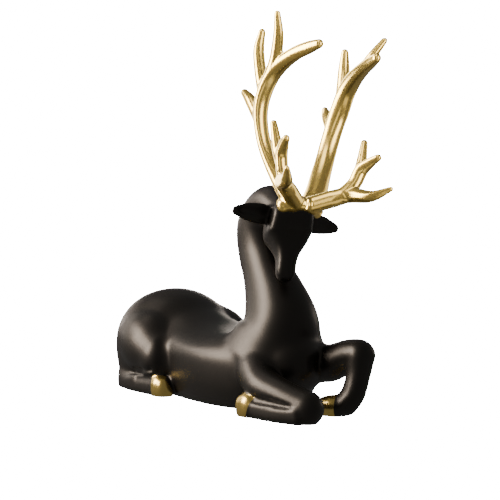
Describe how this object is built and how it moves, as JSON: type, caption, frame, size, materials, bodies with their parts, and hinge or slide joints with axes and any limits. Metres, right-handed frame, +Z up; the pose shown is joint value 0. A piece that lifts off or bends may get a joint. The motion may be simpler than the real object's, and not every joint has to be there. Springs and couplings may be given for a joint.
{
  "type": "reindeer figurine",
  "caption": "Reclining reindeer ornament: a smooth black casting lying on its belly with one foreleg raised, painted gold hooves, and a pair of branching gold antlers seated on the brow.",
  "frame": {"origin": "on the flat underside, below the middle of the figure", "axes": "+X the way the figure faces, +Y its own left side, +Z up"},
  "size_m": [0.2188, 0.0971, 0.2293],
  "materials": {
    "black_paint": "satin black paint over cast resin, with the four hooves painted gold",
    "gold_paint": "satin gold metallic finish over a casting"
  },
  "bodies": {
    "root": {"body": "black_paint", "antler_right": "gold_paint", "antler_left": "gold_paint"}
  },
  "joints": []
}
